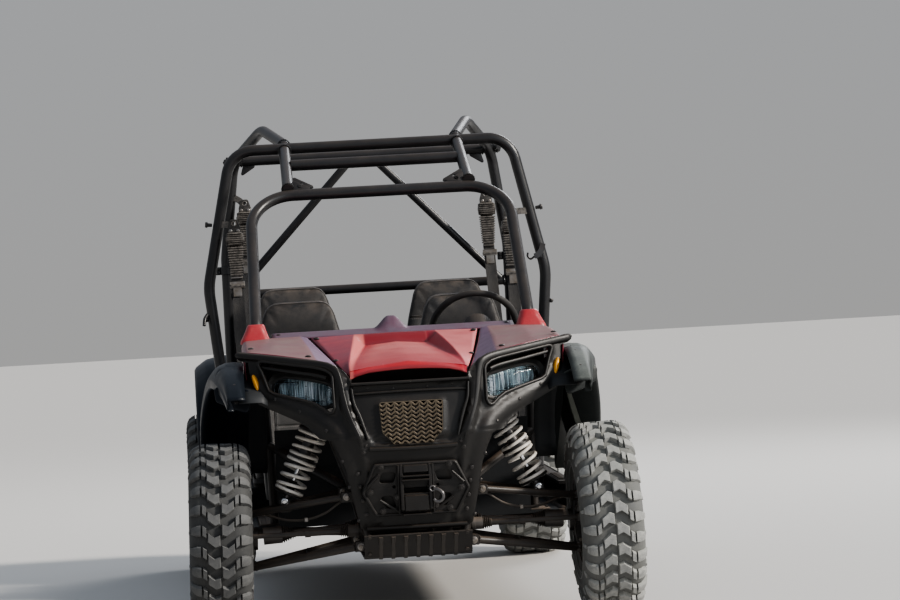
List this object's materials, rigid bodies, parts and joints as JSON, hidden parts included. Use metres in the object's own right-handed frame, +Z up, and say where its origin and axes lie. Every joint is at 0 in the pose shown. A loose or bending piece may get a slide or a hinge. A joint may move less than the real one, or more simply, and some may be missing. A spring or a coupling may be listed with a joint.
{
  "type": "four-seat dune buggy",
  "caption": "Open off-road buggy with a tubular roll cage, red hood, black wings, long-travel suspension, cargo bed, steered front wheels and a hinged hood.",
  "frame": {"origin": "on the ground, midway between the axles and between the wheels", "axes": "+Z up, the front faces -Y, +X is the vehicle's left side"},
  "size_m": [1.626, 3.4138, 1.8886],
  "materials": {
    "frame_black": "satin powder coat, dusty",
    "cage_black": "satin powder coat",
    "plastic_black": "grained, dusty",
    "body_red": "gloss red under light dust",
    "grille_metal": "pressed mesh, dusty",
    "lamp_glass": "clear, fluted reflector behind",
    "lamp_red": "clear red",
    "bare_aluminium": "cast or finned",
    "engine_metal": "cast, oily dust",
    "exhaust_steel": "heat stained",
    "shock_metal": "bright rod, dark body",
    "spring_white": "white enamel",
    "seat_vinyl": "grained vinyl, stitched",
    "belt_webbing": "woven strap",
    "grip_rubber": "matt grip",
    "tyre_rubber": "dusty block tread",
    "rim_alloy": "dark cast, machined edges"
  },
  "bodies": {
    "root": {"chassis_frame": "frame_black", "front_frame": "frame_black", "rear_frame": "frame_black", "brake_hoses": "grip_rubber", "skid_plate": "plastic_black", "floor_pan": "plastic_black", "side_sills": "plastic_black", "dashboard": "plastic_black", "cowl_panel": "body_red", "front_fascia": "plastic_black", "front_grille": "grille_metal", "headlights": "lamp_glass", "front_bumper": "plastic_black", "radiator": "bare_aluminium", "quarter_panels": "body_red", "front_fenders": "plastic_black", "rear_fenders": "plastic_black", "rear_side_panels": "body_red", "cargo_bed": "plastic_black", "tail_lights": "lamp_red", "rear_bumper": "cage_black", "front_hoop": "cage_black", "main_hoop": "cage_black", "roof_rails": "cage_black", "rear_brace": "cage_black", "side_bars": "cage_black", "grab_bar": "cage_black", "steering_column": "frame_black", "steering_rack": "bare_aluminium", "pedals": "frame_black", "centre_console": "plastic_black", "front_seats": "seat_vinyl", "rear_seats": "seat_vinyl", "seat_belts": "belt_webbing", "engine": "engine_metal", "exhaust": "exhaust_steel", "driveline": "engine_metal", "front_arms": "frame_black", "rear_arms": "frame_black", "shock_absorbers": "shock_metal", "coil_springs": "spring_white"},
    "hood_panel": {"hood": "body_red"},
    "steering_wheel_body": {"steering_wheel": "grip_rubber"},
    "steering_link": {"tie_rods": "shock_metal"},
    "front_left_upright": {"knuckle_left": "engine_metal"},
    "front_right_upright": {"knuckle_right": "engine_metal"},
    "front_left_wheel": {"tyre_front_left": "tyre_rubber", "rim_front_left": "rim_alloy"},
    "front_right_wheel": {"tyre_front_right": "tyre_rubber", "rim_front_right": "rim_alloy"},
    "rear_left_wheel": {"tyre_rear_left": "tyre_rubber", "rim_rear_left": "rim_alloy"},
    "rear_right_wheel": {"tyre_rear_right": "tyre_rubber", "rim_rear_right": "rim_alloy"}
  },
  "joints": [
    {"name": "steer_left", "type": "hinge", "parent": "root", "child": "front_left_upright", "pos_m": [0.594, -1.364, 0.343], "axis": [0, 0, 1], "range_deg": [-30, 30]},
    {"name": "steer_right", "type": "hinge", "parent": "root", "child": "front_right_upright", "pos_m": [-0.594, -1.364, 0.343], "axis": [0, 0, 1], "range_deg": [-30, 30]},
    {"name": "steering_wheel_turn", "type": "hinge", "parent": "root", "child": "steering_wheel_body", "pos_m": [0.328, -0.45, 1.03], "axis": [0, 0.8192, 0.5736], "range_deg": [-271, 271]},
    {"name": "rack_slide", "type": "slide", "parent": "root", "child": "steering_link", "axis": [1, 0, 0], "range_m": [-0.058, 0.058]},
    {"name": "front_left_wheel_spin", "type": "hinge", "parent": "front_left_upright", "child": "front_left_wheel", "pos_m": [0.68995, -1.364, 0.34462], "axis": [0.9994, 0, 0.0349], "continuous": true},
    {"name": "front_right_wheel_spin", "type": "hinge", "parent": "front_right_upright", "child": "front_right_wheel", "pos_m": [-0.68995, -1.364, 0.34462], "axis": [0.9994, 0, -0.0349], "continuous": true},
    {"name": "rear_left_wheel_spin", "type": "hinge", "parent": "root", "child": "rear_left_wheel", "pos_m": [0.6735, 1.364, 0.343], "axis": [1, 0, 0], "continuous": true},
    {"name": "rear_right_wheel_spin", "type": "hinge", "parent": "root", "child": "rear_right_wheel", "pos_m": [-0.6735, 1.364, 0.343], "axis": [1, 0, 0], "continuous": true},
    {"name": "hood_hinge", "type": "hinge", "parent": "root", "child": "hood_panel", "pos_m": [0, -1.603, 0.897], "axis": [1, 0, 0], "range_deg": [0, 60]}
  ],
  "couplings": [
    {"joint": "steer_right", "follows": "steer_left", "ratio": 1},
    {"joint": "steering_wheel_turn", "follows": "steer_left", "ratio": 9},
    {"joint": "rack_slide", "follows": "steer_left", "m_per_rad": 0.11}
  ]
}
